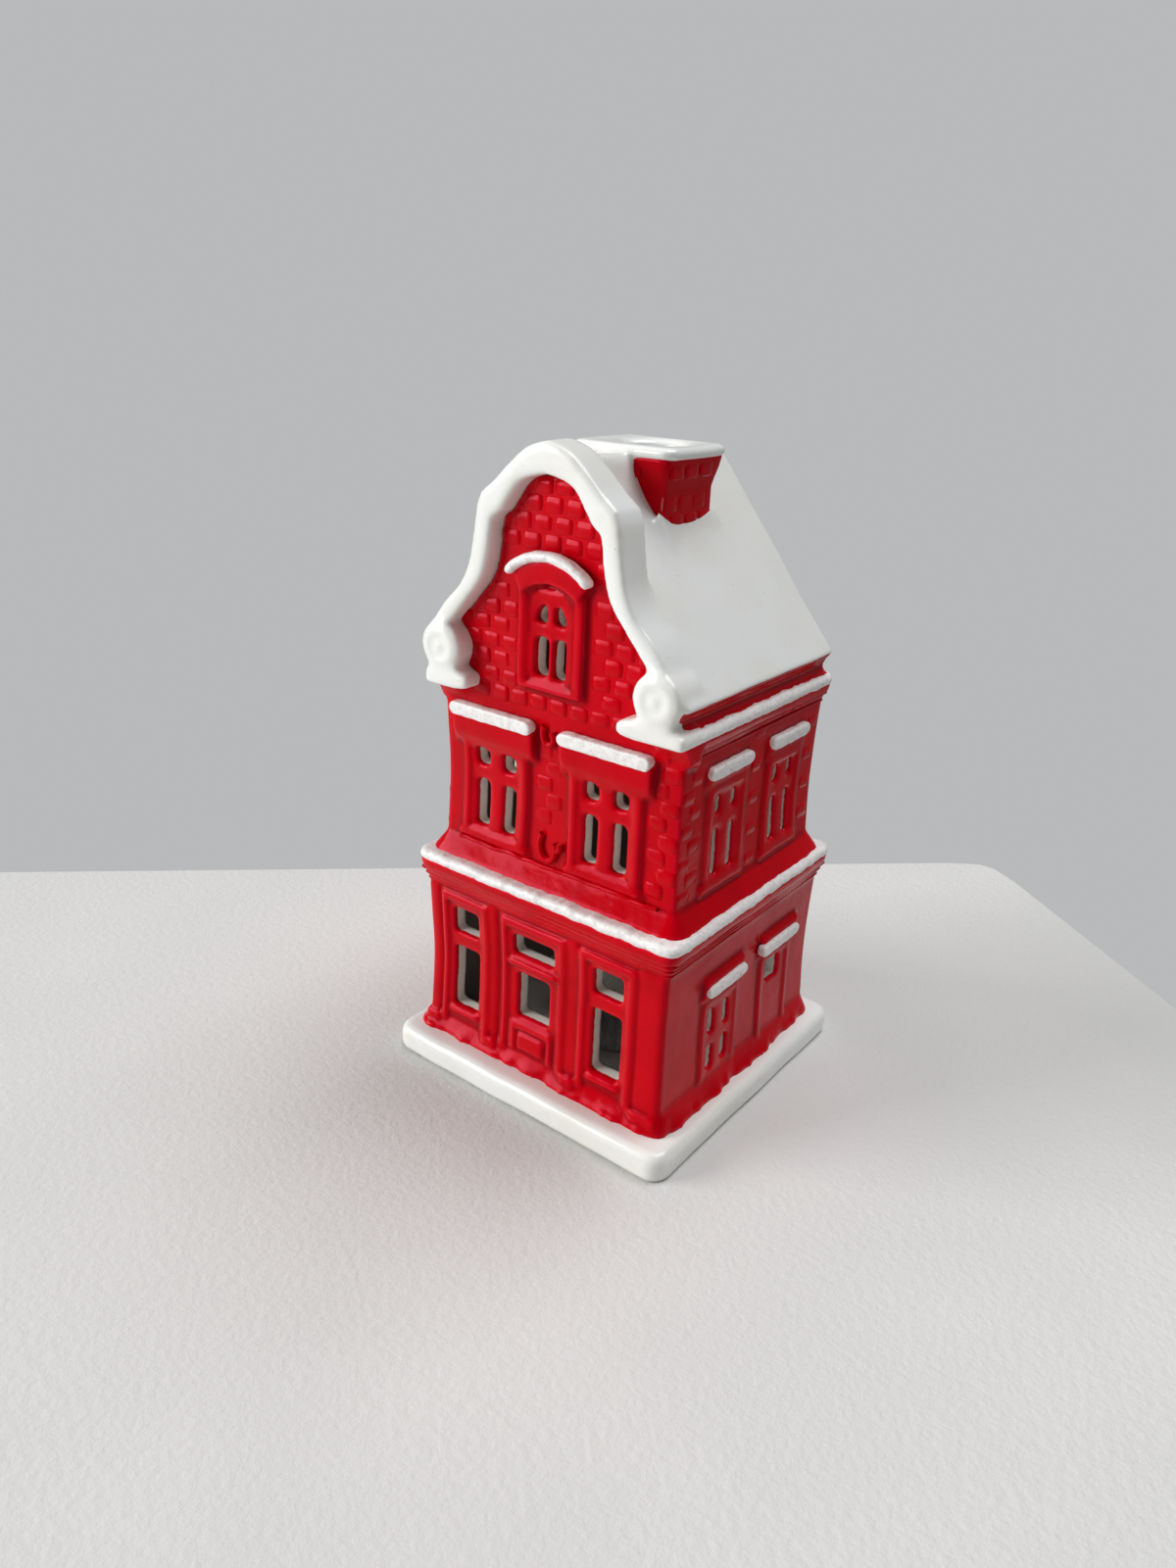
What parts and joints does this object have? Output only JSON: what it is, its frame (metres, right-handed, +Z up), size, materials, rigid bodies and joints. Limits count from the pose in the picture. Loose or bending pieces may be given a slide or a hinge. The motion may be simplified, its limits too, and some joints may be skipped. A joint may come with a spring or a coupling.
{
  "type": "tealight house",
  "caption": "Ceramic tealight house: tall town house with a scrolled gable, snow-white ledges and roof, pierced windows, open chimney and a candle that slides in from behind.",
  "frame": {"origin": "middle of the slab's underside, on the surface the house stands on", "axes": "+Z up to the gable's crown, -Y out of the street front, +X to the right of someone who faces the street front"},
  "size_m": [0.085, 0.085, 0.1582],
  "materials": {
    "red_glaze": "glossy transparent red glaze over white earthenware, pooled darker in the recesses",
    "white_glaze": "glossy white glaze with fine dark specks",
    "tin": "thin drawn foil, satin",
    "wax": "white paraffin wax, slightly translucent",
    "cotton": "waxed plaited cotton wick"
  },
  "bodies": {
    "house": {"attic_window_hood": "white_glaze", "attic_window_surround": "red_glaze", "base_slab": "white_glaze", "chimney_cap": "white_glaze", "chimney_stack": "red_glaze", "cornice_moulding": "red_glaze", "cornice_snow": "white_glaze", "door_leaf": "red_glaze", "door_surround": "red_glaze", "eaves_cove_left": "red_glaze", "eaves_cove_right": "red_glaze", "gable_brick_front": "red_glaze", "gable_brick_rear": "red_glaze", "gable_coping": "white_glaze", "ground_left_side_door_hood": "white_glaze", "ground_left_side_door_surround": "red_glaze", "ground_left_window_hood": "white_glaze", "ground_left_window_surround": "red_glaze", "ground_right_side_door_hood": "white_glaze", "ground_right_side_door_surround": "red_glaze", "ground_right_window_hood": "white_glaze", "ground_right_window_surround": "red_glaze", "ground_wall_front": "red_glaze", "ground_wall_left": "red_glaze", "ground_wall_rear": "red_glaze", "ground_wall_right": "red_glaze", "ground_window_left_surround": "red_glaze", "ground_window_right_surround": "red_glaze", "roof_slope_left": "white_glaze", "roof_slope_right": "white_glaze", "scroll_left": "white_glaze", "scroll_pad_left": "white_glaze", "scroll_pad_right": "white_glaze", "scroll_right": "white_glaze", "string_course": "red_glaze", "string_course_snow": "white_glaze", "upper_left_front_window_hood": "white_glaze", "upper_left_front_window_surround": "red_glaze", "upper_left_rear_window_hood": "white_glaze", "upper_left_rear_window_surround": "red_glaze", "upper_plinth": "red_glaze", "upper_right_front_window_hood": "white_glaze", "upper_right_front_window_surround": "red_glaze", "upper_right_rear_window_hood": "white_glaze", "upper_right_rear_window_surround": "red_glaze", "upper_wall_front": "red_glaze", "upper_wall_left": "red_glaze", "upper_wall_rear": "red_glaze", "upper_wall_right": "red_glaze", "upper_window_left_hood": "white_glaze", "upper_window_left_surround": "red_glaze", "upper_window_right_hood": "white_glaze", "upper_window_right_surround": "red_glaze"},
    "candle": {"candle_cup": "tin", "candle_wax": "wax", "wick_foot": "tin", "candle_wick": "cotton"}
  },
  "joints": [
    {"name": "candle_slide", "type": "slide", "parent": "house", "child": "candle", "axis": [0, 1, 0], "range_m": [0, 0.064]}
  ]
}
